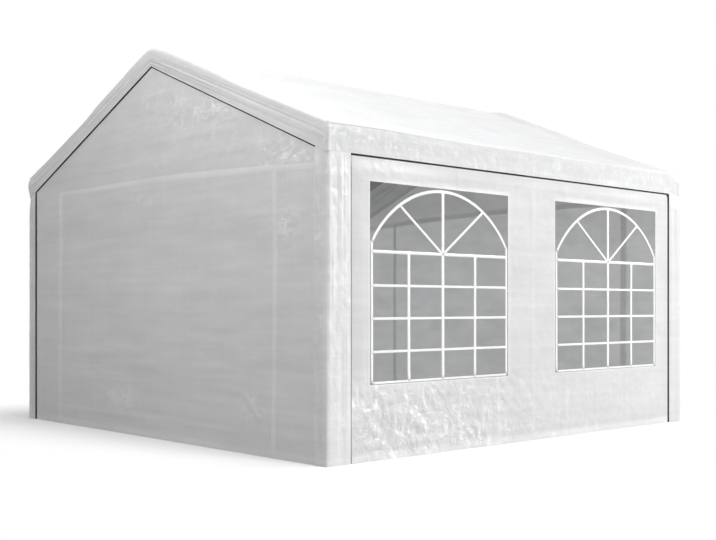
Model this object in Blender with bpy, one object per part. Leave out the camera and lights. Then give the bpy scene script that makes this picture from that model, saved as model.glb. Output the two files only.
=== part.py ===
"""A fabric marquee on a plan of 4 m by 4 m, with a ridge roof.

Three gable frames of steel tube are joined by rails along the eaves and the ridge. Over them lie a
roof cover in two halves, side walls with two clear windows each, gable walls with a wide zipped door
each, and covers that wrap round the corner posts.

The origin is on the ground at the centre of the plan. X runs across the gables, Y along the ridge
with the front gable at -Y, and Z is up. All sizes are in metres.
"""

import math

import bmesh
import bpy
from mathutils import Matrix, Vector

# Outer shape, over the fabric
PLAN = 4.0
HALF = PLAN / 2
EAVE_HEIGHT = 2.11
RIDGE_HEIGHT = 2.895
PITCH = math.atan2(RIDGE_HEIGHT - EAVE_HEIGHT, HALF)

# Clearance between pieces that touch
GAP = 0.0003

# Steel tubes and the sleeves that join them
TUBE_RADIUS = 0.019
TUBE_WALL = 0.0012
SLEEVE_WALL = 0.003
SLEEVE_RADIUS = TUBE_RADIUS + GAP + SLEEVE_WALL
BALL_RADIUS = SLEEVE_RADIUS - 0.0005
SLEEVE_LENGTH = 0.11
SLEEVE_START = 0.004
TUBE_STOP = 0.035
ROUND_SIDES = 16

# Foot plates, each with two holes for ground pegs
PLATE_WIDTH = 0.1
PLATE_THICKNESS = 0.005
PLATE_CORNER = 0.01
PLATE_PAST_AXIS = 0.016
PEG_HOLE_RADIUS = 0.006
PEG_HOLE_INSET = 0.018

# Fabric, thicker than the real sheeting so that it makes sound solids
SHEET = 0.003
FILM = 0.001

# The tubes' axes lie inside the outer faces by a wall sheet, a cover sheet and the tube's radius
AXIS_INSET = TUBE_RADIUS + 2 * (SHEET + GAP)
FRAME = HALF - AXIS_INSET
RIDGE_AXIS = RIDGE_HEIGHT - AXIS_INSET / math.cos(PITCH)
EAVE_AXIS = RIDGE_AXIS - FRAME * math.tan(PITCH)

# Lower edges of the roof cover: level along the eaves, and a chevron on the gables
VALANCE_FOOT = 1.94
STRIP_APEX = 2.775
STRIP_FALL = 0.4213

# The walls hang a little below those edges, which leaves a dark slit
WALL_SLIT = 0.012

# Corner covers: width of each flange
COVER_ON_GABLE = 0.11
COVER_ON_SIDE = {"front": 0.20, "rear": 0.18}

# Windows, two in each side wall
WINDOW_WIDTH = 1.361
WINDOW_SILL = 0.487
WINDOW_HEAD = 1.777
WINDOW_CENTRE = 0.9585

# Zipped door in each gable wall
DOOR_HALF_WIDTH = 1.46
DOOR_HEIGHT = 1.89

# Steps in the round corners of sheets
ARC_STEPS = 5

SIDES = {"left": -1, "right": 1}
ENDS = {"front": -1, "rear": 1}
STATIONS = {"front": -FRAME, "middle": 0.0, "rear": FRAME}


def principled(name, colour, roughness, metallic=0.0, alpha=1.0):
    """A plain material with one Principled BSDF."""
    material = bpy.data.materials.new(name)
    material.use_nodes = True
    shader = material.node_tree.nodes["Principled BSDF"]
    shader.inputs["Base Color"].default_value = (*colour, 1)
    shader.inputs["Roughness"].default_value = roughness
    shader.inputs["Metallic"].default_value = metallic
    shader.inputs["Alpha"].default_value = alpha
    return material


def add_object(name, shape, material=None):
    """Turns a bmesh into a named object with its faces pointing out."""
    bmesh.ops.recalc_face_normals(shape, faces=shape.faces)
    mesh = bpy.data.meshes.new(name)
    shape.to_mesh(mesh)
    shape.free()
    if material:
        mesh.materials.append(material)
    made = bpy.data.objects.new(name, mesh)
    bpy.context.scene.collection.objects.link(made)
    return made


def fuse(body, others, operation):
    """Joins the other objects to the body, or cuts them from it, and removes them."""
    for other in others:
        step = body.modifiers.new(operation.title(), "BOOLEAN")
        step.operation = operation
        step.object = other
    graph = bpy.context.evaluated_depsgraph_get()
    result = bpy.data.meshes.new_from_object(body.evaluated_get(graph))
    body.modifiers.clear()
    body.data = result
    for other in others:
        bpy.data.objects.remove(other)


def shade_round(made):
    """Smooth shading with sharp edges where faces meet at more than 40 degrees."""
    made.data.shade_smooth()
    made.data.set_sharp_from_angle(angle=math.radians(40))


def along(start, end):
    """A matrix that puts local Z on the line from start to end, with its origin at start."""
    turn = (end - start).to_track_quat("Z", "Y")
    return Matrix.Translation(start) @ turn.to_matrix().to_4x4()


def rod_shape(start, end, radius, roll=0.0):
    """A solid cylinder from start to end, its facets turned by a roll about its axis."""
    shape = bmesh.new()
    length = (end - start).length
    turn = Matrix.Rotation(roll, 4, "Z") @ Matrix.Translation((0, 0, length / 2))
    bmesh.ops.create_cone(
        shape,
        cap_ends=True,
        segments=ROUND_SIDES,
        radius1=radius,
        radius2=radius,
        depth=length,
        matrix=along(start, end) @ turn,
    )
    return shape


def tube_shape(start, end):
    """An open steel tube from start to end."""
    shape = bmesh.new()
    length = (end - start).length
    bore = TUBE_RADIUS - TUBE_WALL
    profile = [(TUBE_RADIUS, 0), (TUBE_RADIUS, length), (bore, length), (bore, 0)]
    rings = []
    for radius, height in profile:
        angles = [2 * math.pi * k / ROUND_SIDES for k in range(ROUND_SIDES)]
        points = [(radius * math.cos(a), radius * math.sin(a), height) for a in angles]
        rings.append([shape.verts.new(p) for p in points])
    for ring, following in zip(rings, rings[1:] + rings[:1]):
        for k in range(ROUND_SIDES):
            m = (k + 1) % ROUND_SIDES
            shape.faces.new((ring[k], ring[m], following[m], following[k]))
    shape.transform(along(start, end))
    return shape


def add_tube(name, start, end, material):
    """A tube between two joints, each end stopping inside a sleeve."""
    step = (end - start).normalized() * (TUBE_STOP + GAP)
    made = add_object(name, tube_shape(start + step, end - step), material)
    shade_round(made)


def add_connector(name, joint, runs, material):
    """A welded joint: sleeves that leave a round middle.

    Each run is a pair of directions, from one mouth to the other, and a zero direction stands for
    a sleeve that ends in the middle.
    """
    ball = bmesh.new()
    bmesh.ops.create_uvsphere(
        ball, u_segments=ROUND_SIDES, v_segments=ROUND_SIDES // 2, radius=BALL_RADIUS
    )
    ball.transform(Matrix.Translation(joint))
    made = add_object(name, ball, material)
    facet = 2 * math.pi / ROUND_SIDES
    sleeves = []
    bores = []
    for k, (tail, head) in enumerate(runs):
        # Each sleeve has a roll of its own, so that no facets of two sleeves lie in one plane
        roll = facet * k / len(runs)
        mouths = [joint + way * SLEEVE_LENGTH for way in (tail, head)]
        if not tail.length:
            mouths[0] = joint + head * SLEEVE_START
        if not head.length:
            mouths[1] = joint + tail * SLEEVE_START
        sleeves.append(add_object("sleeve", rod_shape(*mouths, SLEEVE_RADIUS, roll)))
        for way in (tail, head):
            if way.length:
                stop = joint + way * TUBE_STOP
                past = joint + way * (SLEEVE_LENGTH + TUBE_STOP)
                bores.append(add_object("bore", rod_shape(stop, past, TUBE_RADIUS + GAP)))
    fuse(made, sleeves, "UNION")
    fuse(made, bores, "DIFFERENCE")
    shade_round(made)


def add_post(name, x, y, material):
    """A post welded to a foot plate, which lies inside the tent so that the walls hang clear."""
    inward = Vector((-math.copysign(1, x), -math.copysign(1, y) if y else 0, 0))
    shift = PLATE_WIDTH / 2 - PLATE_PAST_AXIS
    centre = Vector((x, y, PLATE_THICKNESS / 2)) + inward * shift
    plate = bmesh.new()
    size = Matrix.Diagonal((PLATE_WIDTH, PLATE_WIDTH, PLATE_THICKNESS, 1))
    bmesh.ops.create_cube(plate, size=1, matrix=Matrix.Translation(centre) @ size)
    upright = [e for e in plate.edges if e.verts[0].co.xy == e.verts[1].co.xy]
    bmesh.ops.bevel(plate, geom=upright, offset=PLATE_CORNER, segments=1, affect="EDGES")
    foot = Vector((x, y, PLATE_THICKNESS / 2))
    top = Vector((x, y, EAVE_AXIS - TUBE_STOP - GAP))
    made = add_object(name, plate, material)
    fuse(made, [add_object("post", tube_shape(foot, top))], "UNION")
    reach = PLATE_WIDTH / 2 - PEG_HOLE_INSET
    holes = []
    for turn in (-1, 1):
        hole = centre + Vector((inward.x * reach, turn * reach, 0))
        if y:
            hole = centre + Vector((inward.x, inward.y, 0)) * reach
            hole.x -= inward.x * reach * (1 + turn)
            hole.y -= inward.y * reach * (1 - turn)
        below = hole - Vector((0, 0, PLATE_THICKNESS))
        above = hole + Vector((0, 0, PLATE_THICKNESS))
        holes.append(add_object("hole", rod_shape(below, above, PEG_HOLE_RADIUS)))
    fuse(made, holes, "DIFFERENCE")
    shade_round(made)


def ribbon(name, sections, material):
    """A sheet as a closed solid: four-cornered sections joined in order and capped at both ends."""
    shape = bmesh.new()
    loops = [[shape.verts.new(p) for p in section] for section in sections]
    for loop, following in zip(loops, loops[1:]):
        for k in range(4):
            m = (k + 1) % 4
            shape.faces.new((loop[k], loop[m], following[m], following[k]))
    shape.faces.new(loops[0])
    shape.faces.new(loops[-1])
    return add_object(name, shape, material)


def panel(name, columns, rows, is_open, thickness, material):
    """A flat sheet as a grid of cells, some of them left open, given its thickness.

    rows is a list of functions, each of which gives a point of one row from a column's place.
    """
    shape = bmesh.new()
    grid = [[shape.verts.new(row(c)) for c in columns] for row in rows]
    for r in range(len(rows) - 1):
        for c in range(len(columns) - 1):
            if not is_open(r, c):
                low, high = grid[r], grid[r + 1]
                shape.faces.new((low[c], low[c + 1], high[c + 1], high[c]))
    loose = [v for v in shape.verts if not v.link_faces]
    bmesh.ops.delete(shape, geom=loose, context="VERTS")
    grown = bmesh.ops.extrude_face_region(shape, geom=shape.faces[:], use_keep_orig=True)
    moved = [v for v in grown["geom"] if isinstance(v, bmesh.types.BMVert)]
    bmesh.ops.translate(shape, verts=moved, vec=thickness)
    return add_object(name, shape, material)


def roof_profile(offset):
    """Points from the eave's vertical face to the ridge, as (x, z), at an offset from the tube axes."""
    normal = math.pi / 2 - PITCH
    ridge_end = math.acos(GAP / 2 / AXIS_INSET)
    points = []
    for k in range(ARC_STEPS + 1):
        a = normal * k / ARC_STEPS
        points.append((FRAME + offset * math.cos(a), EAVE_AXIS + offset * math.sin(a)))
    for k in range(ARC_STEPS + 1):
        a = normal + (ridge_end - normal) * k / ARC_STEPS
        points.append((offset * math.cos(a), RIDGE_AXIS + offset * math.sin(a)))
    return points


def add_roof_cover(name, side, material):
    """Half of the roof: the valance, the turn over the eave rail and the slope up to the ridge."""
    outer = roof_profile(AXIS_INSET)
    inner = roof_profile(AXIS_INSET - SHEET)
    outer.insert(0, (HALF, VALANCE_FOOT))
    inner.insert(0, (HALF - SHEET, VALANCE_FOOT))
    sections = []
    for (ox, oz), (ix, iz) in zip(outer, inner):
        section = [(ox, -HALF, oz), (ox, HALF, oz), (ix, HALF, iz), (ix, -HALF, iz)]
        sections.append([(side * x, y, z) for x, y, z in section])
    shade_round(ribbon(name, sections, material))


def strip_foot(x):
    """Height of the gable strip's lower edge."""
    return STRIP_APEX - STRIP_FALL * abs(x)


def add_gable_strip(name, end, material):
    """The strip of roof cover that hangs on a gable, under the edge of the roof cover."""
    half = roof_profile(AXIS_INSET - SHEET - GAP)
    tops = [(-x, z) for x, z in half] + [(x, z) for x, z in reversed(half)]
    faces = (end * HALF, end * (HALF - SHEET))
    sections = []
    for x, z in tops:
        low = [(x, y, strip_foot(x)) for y in faces]
        high = [(x, y, z) for y in reversed(faces)]
        sections.append(low + high)
    ribbon(name, sections, material)


def add_corner_cover(name, side, end, width_on_side, material):
    """An L-shaped cover that wraps round a corner post, on the gable and on the side wall."""
    level = VALANCE_FOOT - GAP
    gable_edge = HALF - COVER_ON_GABLE
    plan = [((gable_edge, HALF), (gable_edge, HALF - SHEET), strip_foot(gable_edge) - GAP)]
    for k in range(ARC_STEPS + 1):
        a = math.pi / 2 * (1 - k / ARC_STEPS)
        reach = Vector((math.cos(a), math.sin(a)))
        outer = Vector((FRAME, FRAME)) + reach * AXIS_INSET
        inner = Vector((FRAME, FRAME)) + reach * (AXIS_INSET - SHEET)
        plan.append((outer, inner, min(level, strip_foot(outer.x) - GAP)))
    side_edge = HALF - width_on_side
    plan.append(((HALF, side_edge), (HALF - SHEET, side_edge), level))
    sections = []
    for outer, inner, top in plan:
        corners = [(outer, 0), (outer, top), (inner, top), (inner, 0)]
        sections.append([(side * p[0], end * p[1], z) for p, z in corners])
    shade_round(ribbon(name, sections, material))


def add_side_wall(name, side, material):
    """A side wall with two window openings."""
    inner_face = side * (FRAME + TUBE_RADIUS + GAP)
    half = WINDOW_WIDTH / 2
    near, far = WINDOW_CENTRE - half, WINDOW_CENTRE + half
    columns = [-FRAME, -far, -near, near, far, FRAME]
    heights = [0, WINDOW_SILL, WINDOW_HEAD, VALANCE_FOOT - WALL_SLIT]
    rows = [lambda y, z=z: (inner_face, y, z) for z in heights]
    panel(
        name,
        columns,
        rows,
        lambda r, c: r == 1 and c in (1, 3),
        (side * SHEET, 0, 0),
        material,
    )


def add_window(name, side, end, material):
    """A sheet of clear film that fills one window opening."""
    middle = side * (FRAME + TUBE_RADIUS + GAP + SHEET / 2)
    half = WINDOW_WIDTH / 2 - GAP
    columns = [end * WINDOW_CENTRE - half, end * WINDOW_CENTRE + half]
    heights = [WINDOW_SILL + GAP, WINDOW_HEAD - GAP]
    rows = [lambda y, z=z: (middle - side * FILM / 2, y, z) for z in heights]
    panel(name, columns, rows, lambda r, c: False, (side * FILM, 0, 0), material)


def add_gable_wall(name, end, material):
    """A gable wall with a wide doorway, its top following the gable strip."""
    inner_face = end * (FRAME + TUBE_RADIUS + GAP)
    columns = [-FRAME, -DOOR_HALF_WIDTH, 0, DOOR_HALF_WIDTH, FRAME]
    rows = [
        lambda x: (x, inner_face, 0),
        lambda x: (x, inner_face, DOOR_HEIGHT),
        lambda x: (x, inner_face, strip_foot(x) - WALL_SLIT),
    ]
    panel(
        name,
        columns,
        rows,
        lambda r, c: r == 0 and c in (1, 2),
        (0, end * SHEET, 0),
        material,
    )


def add_door(name, end, material):
    """The zipped door panel that closes a gable wall's doorway."""
    inner_face = end * (FRAME + TUBE_RADIUS + GAP)
    half = DOOR_HALF_WIDTH - GAP
    heights = [0, DOOR_HEIGHT - GAP]
    rows = [lambda x, z=z: (x, inner_face, z) for z in heights]
    panel(name, [-half, half], rows, lambda r, c: False, (0, end * SHEET, 0), material)


def build_frame(steel, joint_steel):
    """Posts, rafters and rails, with a connector wherever they meet."""
    nowhere = Vector((0, 0, 0))
    down = Vector((0, 0, -1))
    for place, y in STATIONS.items():
        # Rails leave the end frames inwards and the middle frame both ways
        rear_rail = Vector((0, 1 if y < FRAME else 0, 0))
        front_rail = Vector((0, -1 if y > -FRAME else 0, 0))
        ridge = Vector((0, y, RIDGE_AXIS))
        ridge_runs = [(front_rail, rear_rail)]
        for side_name, side in SIDES.items():
            eave = Vector((side * FRAME, y, EAVE_AXIS))
            rise = (ridge - eave).normalized()
            label = f"{place}_{side_name}"
            add_post(f"post_{label}", eave.x, y, steel)
            add_tube(f"rafter_{label}", eave, ridge, steel)
            eave_runs = [(nowhere, down), (nowhere, rise), (front_rail, rear_rail)]
            add_connector(f"eave_connector_{label}", eave, eave_runs, joint_steel)
            ridge_runs.append((nowhere, -rise))
        add_connector(f"ridge_connector_{place}", ridge, ridge_runs, joint_steel)
    middle = STATIONS["middle"]
    for place in ENDS:
        y = STATIONS[place]
        for side_name, side in SIDES.items():
            start = Vector((side * FRAME, y, EAVE_AXIS))
            end = Vector((side * FRAME, middle, EAVE_AXIS))
            add_tube(f"eave_rail_{place}_{side_name}", start, end, steel)
        start = Vector((0, y, RIDGE_AXIS))
        end = Vector((0, middle, RIDGE_AXIS))
        add_tube(f"ridge_rail_{place}", start, end, steel)


def build_fabric(roof_fabric, wall_fabric, clear_film):
    """The roof cover, walls, doors, corner covers and windows."""
    for side_name, side in SIDES.items():
        add_roof_cover(f"roof_cover_{side_name}", side, roof_fabric)
        add_side_wall(f"side_wall_{side_name}", side, wall_fabric)
        for end_name, end in ENDS.items():
            label = f"{end_name}_{side_name}"
            width = COVER_ON_SIDE[end_name]
            add_corner_cover(f"corner_cover_{label}", side, end, width, wall_fabric)
            add_window(f"window_{label}", side, end, clear_film)
    for end_name, end in ENDS.items():
        add_gable_strip(f"gable_strip_{end_name}", end, roof_fabric)
        add_gable_wall(f"gable_wall_{end_name}", end, wall_fabric)
        add_door(f"door_{end_name}", end, wall_fabric)


def main():
    for old in list(bpy.data.objects):
        bpy.data.objects.remove(old)
    steel = principled("galvanised_steel", (0.52, 0.54, 0.56), 0.42, metallic=0.9)
    joint_steel = principled("connector_steel", (0.44, 0.46, 0.48), 0.5, metallic=0.9)
    roof_fabric = principled("roof_fabric", (0.93, 0.94, 0.95), 0.5)
    wall_fabric = principled("wall_fabric", (0.9, 0.91, 0.92), 0.5)
    clear_film = principled("clear_film", (0.75, 0.78, 0.8), 0.12, alpha=0.4)
    build_frame(steel, joint_steel)
    build_fabric(roof_fabric, wall_fabric, clear_film)


main()
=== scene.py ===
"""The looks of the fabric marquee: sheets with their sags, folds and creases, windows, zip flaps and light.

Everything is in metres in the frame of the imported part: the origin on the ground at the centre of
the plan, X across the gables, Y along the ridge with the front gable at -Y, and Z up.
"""

import math

import bpy
import numpy as np
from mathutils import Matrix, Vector


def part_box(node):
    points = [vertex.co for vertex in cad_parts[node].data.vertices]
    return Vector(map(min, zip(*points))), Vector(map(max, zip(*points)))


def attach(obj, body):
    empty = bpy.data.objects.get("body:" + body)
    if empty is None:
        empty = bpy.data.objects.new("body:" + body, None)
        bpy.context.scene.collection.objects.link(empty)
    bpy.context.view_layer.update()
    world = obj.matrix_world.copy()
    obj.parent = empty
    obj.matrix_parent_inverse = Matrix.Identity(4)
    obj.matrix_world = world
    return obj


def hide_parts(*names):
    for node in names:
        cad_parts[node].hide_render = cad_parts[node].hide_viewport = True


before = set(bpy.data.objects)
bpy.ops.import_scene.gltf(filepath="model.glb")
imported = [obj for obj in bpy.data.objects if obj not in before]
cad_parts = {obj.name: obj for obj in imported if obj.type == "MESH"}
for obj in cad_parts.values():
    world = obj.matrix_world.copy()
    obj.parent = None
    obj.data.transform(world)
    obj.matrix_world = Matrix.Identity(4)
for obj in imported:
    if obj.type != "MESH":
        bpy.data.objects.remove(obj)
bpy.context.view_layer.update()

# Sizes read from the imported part
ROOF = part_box("roof_cover_right")
SIDE_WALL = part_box("side_wall_right")
GABLE_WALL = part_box("gable_wall_front")
GABLE_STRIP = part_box("gable_strip_front")
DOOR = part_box("door_front")
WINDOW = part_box("window_rear_right")
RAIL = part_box("eave_rail_rear_right")
RIDGE_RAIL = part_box("ridge_rail_rear")
COVER = {end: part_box(f"corner_cover_{end}_right") for end in ("front", "rear")}

# Half the plan, the same to the tubes' axes, and from those axes out to the sheets' faces
HALF = ROOF[1].x
FRAME = (RAIL[1].x + RAIL[0].x) / 2
WRAP = HALF - FRAME
EAVE_AXIS = (RAIL[1].z + RAIL[0].z) / 2
RIDGE_AXIS = (RIDGE_RAIL[1].z + RIDGE_RAIL[0].z) / 2
PITCH = math.atan2(RIDGE_AXIS - EAVE_AXIS, FRAME)
VALANCE_FOOT = ROOF[0].z
WALL_FACE = SIDE_WALL[1].x
WALL_TOP = SIDE_WALL[1].z
SLIT = VALANCE_FOOT - WALL_TOP
DOOR_HALF = DOOR[1].x
DOOR_TOP = DOOR[1].z
WINDOW_CENTRE = (WINDOW[1].y + WINDOW[0].y) / 2
WINDOW_HALF = (WINDOW[1].y - WINDOW[0].y) / 2
SILL, HEAD = WINDOW[0].z, WINDOW[1].z
GABLE_FLANGE = COVER["front"][1].x - COVER["front"][0].x
SIDE_FLANGE = {end: box[1].y - box[0].y for end, box in COVER.items()}

# The gable strip's lower edge, a chevron
STRIP_APEX = GABLE_WALL[1].z + SLIT
STRIP_FALL = (STRIP_APEX - GABLE_STRIP[0].z) / GABLE_STRIP[1].x

SIDES = {"left": -1, "right": 1}
ENDS = {"front": -1, "rear": 1}


# Noise and easing

NOISE_CELLS = 128
FOLD_SETS = 5


def ease(x):
    """0 below 0, 1 above 1, and a smooth step between."""
    x = np.clip(x, 0, 1)
    return x * x * (3 - 2 * x)


def noise(u, v, seed):
    """Smooth noise from -1 to 1, with one random value at each whole u and v."""
    table = np.random.default_rng(seed).uniform(-1, 1, (NOISE_CELLS, NOISE_CELLS))
    cell_u, cell_v = np.floor(u).astype(int), np.floor(v).astype(int)
    a, b = ease(u - cell_u), ease(v - cell_v)
    u0, u1 = cell_u % NOISE_CELLS, (cell_u + 1) % NOISE_CELLS
    v0, v1 = cell_v % NOISE_CELLS, (cell_v + 1) % NOISE_CELLS
    low = table[u0, v0] * (1 - a) + table[u1, v0] * a
    high = table[u0, v1] * (1 - a) + table[u1, v1] * a
    return low * (1 - b) + high * b


def layered(u, v, seed):
    """Noise summed over three octaves, each half as long and half as strong as the last."""
    total = 0
    for k in range(3):
        total = total + noise(u * 2**k + 17 * k, v * 2**k + 31 * k, seed + k) / 2**k
    return total / 2


def crumple(u, v, seed, cell):
    """Crumpled cloth: sharp straight folds that cross at all angles, mostly from -1 to 1."""
    picked = np.random.default_rng(seed)
    total = 0
    for k in range(FOLD_SETS):
        angle = picked.uniform(0, math.pi)
        length = cell * picked.uniform(1.2, 3.2)
        bend = 0.9 * noise(u / (cell * 5) + 3 * k, v / (cell * 5), seed + 10 + k)
        wave = (u * math.cos(angle) + v * math.sin(angle)) / length + picked.uniform() + bend
        zigzag = 1 - 4 * np.abs(wave - np.floor(wave) - 0.5)
        strength = np.clip(noise(u / (cell * 3) + 5 * k, v / (cell * 3), seed + 20 + k) + 0.2, 0, 1)
        total = total + zigzag * strength * length / (cell * 3)
    return total


def fold_lines(x, start, spacing, width):
    """Sharp folds from packing, evenly spaced: 1 on each line, and fading out over its width."""
    off = (x + start) % spacing - spacing / 2
    return np.maximum(0, 1 - np.abs(off) / width) ** 1.5


def hump(x, middle, width):
    """A smooth hump of height 1 at its middle."""
    return np.exp(-(((x - middle) / width) ** 2))


# Materials

# Pale strokes on crumpled fabric, partly stress whitening and partly painted highlights: how their
# noise is stretched, its scale, and the same for the patches that they lie in
STROKES = (
    ((1, 1, 2.6), 11.0, (1.0, 1.0, 1.3), 4.5),
    ((2.2, 2.2, 1), 9.5, (1.8, 1.8, 1.2), 4.0),
    ((1.4, 1.4, 1.7), 19.0, (1.2, 1.2, 1.5), 5.0),
)
STROKE_GAIN, STROKE_MOST = 1.05, 0.85

# The darkest and lightest streaks, as shares of a fabric's colour
STREAK_TONES = (0.955, 1.03)

# The width of the woven tapes, and the waves that Blender's wave texture has in 2 pi at scale 1
TAPE = 0.0025
WAVES_IN_TURN = 20

# Facets of crumpled sheeting, large and small: scale and share of the depth. How far they wander.
FACETS = ((7.5, 1.0), (17.0, 0.3))
FACET_WANDER = 0.16

# How deep the bump is of the weave, the facets, the pale strokes and the blotches
WEAVE_DEPTH = 0.00015
FACET_DEPTH, STROKE_DEPTH, BLOTCH_DEPTH = 0.014, 0.002, 0.005

# The share of the light through one layer that a second layer stops
DOUBLED_STOPS = 0.42

# What the film lets through in its dimmer and clearer places, its haze, and the share of that haze,
# which falls from a height up to the window's head: painted shade that darkens the pane near its head
FILM_DIM = (0.74, 0.75, 0.76)
FILM_CLEAR = (0.93, 0.94, 0.95)
FILM_HAZE = (0.585, 0.59, 0.595, 1)
HAZE_LEAST, HAZE_MOST = 0.21, 0.3
HAZE_FALLS_FROM, HAZE_FALL = 1.3, 0.4


class Shading:
    """The nodes of a material or of the world. Its methods add to them and give back outputs."""

    def __init__(self, owner):
        owner.use_nodes = True
        self.tree = owner.node_tree
        self.tree.nodes.clear()

    def add(self, kind, inputs=None, output=0, **settings):
        """One node, by its type's name. Its inputs are plain values or other nodes' outputs."""
        made = self.tree.nodes.new("ShaderNode" + kind)
        for key, value in settings.items():
            setattr(made, key, value)
        for place, value in (inputs or {}).items():
            if isinstance(value, bpy.types.NodeSocket):
                self.tree.links.new(value, made.inputs[place])
            else:
                made.inputs[place].default_value = value
        return made.outputs[output] if made.outputs else None

    def compute(self, operation, *values):
        return self.add("Math", dict(enumerate(values)), operation=operation)

    def total(self, first, *others):
        for other in others:
            first = self.compute("ADD", first, other)
        return first

    def noise(self, place, stretch, scale, detail):
        """Noise over a place, stretched along some axes."""
        mapped = self.add("Mapping", {"Vector": place, "Scale": stretch})
        return self.add("TexNoise", {"Vector": mapped, "Scale": scale, "Detail": detail}, "Fac")

    def ramp(self, value, low, high, start=0.0, end=1.0, **settings):
        """start below the low value, end above the high one, straight between."""
        inputs = {"Value": value, "From Min": low, "From Max": high, "To Min": start, "To Max": end}
        return self.add("MapRange", inputs, "Result", **settings)

    def between(self, share, *colours):
        """A colour between two, each given as a tuple or an output."""
        inputs = {"Factor": share}
        for place, colour in zip("AB", colours):
            inputs[place] = (*colour, 1) if isinstance(colour, tuple) else colour
        return self.add("Mix", inputs, "Result", data_type="RGBA")

    def bump(self, height, distance, strength=1.0, **under):
        """The surface's direction with some relief, over that of a bump under it if there is one."""
        return self.add("Bump", {"Height": height, "Distance": distance, "Strength": strength, **under})

    def blend(self, share, first, second):
        """A mix of two shaders."""
        return self.add("MixShader", {"Fac": share, 1: first, 2: second})


def toned(colour, share):
    """A colour made darker or lighter."""
    return tuple(min(1.0, c * share) for c in colour)


def fabric_material(name, colour, see_through, roughness=0.4, specular=0.45):
    """Coated woven sheeting: a weave of flat tapes, streaks along the threads, and small crumples.

    Where the mesh's crumple value is high, the sheet is crumpled, with pale marks that are partly
    stress whitening and partly painted highlights off its facets. Where its "doubled" value is high,
    it is two layers thick, and less light comes through. A mesh without them has 0 for both.
    """
    material = bpy.data.materials.new(name)
    tree = Shading(material)
    place = tree.add("TexCoord", output="Object")
    wear_and_glint = tree.add("Attribute", output="Fac", attribute_name="wear_and_glint")
    doubled = tree.add("Attribute", output="Fac", attribute_name="doubled")

    # Streaks along the threads, mostly level, and blotches
    level = tree.noise(place, (1.3, 1.3, 26), 1.0, 4.0)
    upright = tree.noise(place, (34, 34, 0.9), 1.0, 3.0)
    blotch = tree.noise(place, (1, 1, 2.2), 2.6, 5.0)
    mottled = tree.total(tree.compute("MULTIPLY_ADD", upright, 0.35, level), blotch)
    dark, light = (toned(colour, share) for share in STREAK_TONES)
    base = tree.between(tree.ramp(mottled, 0.9, 1.45), dark, light)

    # Short pale marks in patches, where it is crumpled: partly stress whitening, partly painted highlights
    marks = []
    for stretch, scale, patch_stretch, patch_scale in STROKES:
        stroke = tree.ramp(tree.noise(place, stretch, scale, 2.0), 0.52, 0.74)
        patch = tree.ramp(tree.noise(place, patch_stretch, patch_scale, 3.0), 0.42, 0.6)
        marks.append(tree.compute("MULTIPLY", stroke, patch))
    shown = tree.compute("MULTIPLY", tree.total(*marks), wear_and_glint)
    shown = tree.compute("MINIMUM", tree.compute("MULTIPLY", shown, STROKE_GAIN), STROKE_MOST)
    # Painted highlight: the marks are mixed towards white
    pale = tree.between(shown, base, (1.0, 1.0, 1.0))

    # The weave, the same on walls and roof
    waves = []
    for axis in "XYZ":
        inputs = {"Vector": place, "Scale": 2 * math.pi / TAPE / WAVES_IN_TURN}
        waves.append(tree.add("TexWave", inputs, "Fac", bands_direction=axis))
    bump = tree.bump(tree.total(*waves), WEAVE_DEPTH, 0.25)

    # Small facets of crumpled sheeting, between sharp folds that cross
    wander = tree.add("TexNoise", {"Vector": place, "Scale": 6.0}, "Color")
    bent = tree.add("VectorMath", {0: wander, 1: (FACET_WANDER,) * 3, 2: place}, operation="MULTIPLY_ADD")
    cells = []
    for scale, depth in FACETS:
        cell = tree.add("TexVoronoi", {"Vector": bent, "Scale": scale}, feature="DISTANCE_TO_EDGE")
        cells.append(tree.compute("MULTIPLY", cell, depth))
    facets = tree.compute("MULTIPLY", tree.total(*cells), wear_and_glint)
    for height, distance in ((facets, FACET_DEPTH), (shown, STROKE_DEPTH), (blotch, BLOTCH_DEPTH)):
        bump = tree.bump(height, distance, Normal=bump)

    finish = {"Base Color": pale, "Roughness": roughness, "Specular IOR Level": specular}
    front = tree.add("BsdfPrincipled", {**finish, "Normal": bump})
    behind = tree.add("BsdfTranslucent", {"Color": pale})
    # Light comes through it, but less through the pale marks and where it is doubled
    through = tree.compute("MULTIPLY_ADD", shown, -see_through, see_through)
    single = tree.compute("MULTIPLY_ADD", doubled, -DOUBLED_STOPS, 1.0)
    through = tree.compute("MULTIPLY", through, single)
    tree.add("OutputMaterial", {"Surface": tree.blend(through, front, behind)})
    return material


def film_material():
    """Clear film: mostly see-through, a little hazy, with gloss that grows at a slant."""
    material = bpy.data.materials.new("clear_film")
    tree = Shading(material)
    place = tree.add("TexCoord", output="Object")
    bump = tree.bump(tree.noise(place, (1, 1, 1), 9.0, 2.0), 0.0012, 0.25)
    tint = tree.ramp(tree.noise(place, (1, 1, 2.4), 3.2, 3.0), 0.3, 0.7)
    clear = tree.add("BsdfTransparent", {"Color": tree.between(tint, FILM_DIM, FILM_CLEAR)})
    haze = tree.add("BsdfDiffuse", {"Color": FILM_HAZE})
    gloss = tree.add("BsdfGlossy", {"Roughness": 0.12, "Normal": bump})
    slant = tree.add("Fresnel", {"IOR": 1.4, "Normal": bump})
    clouds = tree.noise(place, (1, 1, 1.6), 2.0, 1.0)
    clouds = tree.ramp(clouds, 0.25, 0.75, HAZE_LEAST, HAZE_MOST)
    height = tree.add("SeparateXYZ", {0: place}, "Z")
    # Painted shade: less of the lit haze towards the head, so the pane is darker there
    kept = tree.compute("MULTIPLY_ADD", tree.ramp(height, HAZE_FALLS_FROM, HEAD), -HAZE_FALL, 1.0)
    hazy = tree.blend(tree.compute("MULTIPLY", kept, clouds), clear, haze)
    tree.add("OutputMaterial", {"Surface": tree.blend(slant, hazy, gloss)})
    return material


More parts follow.
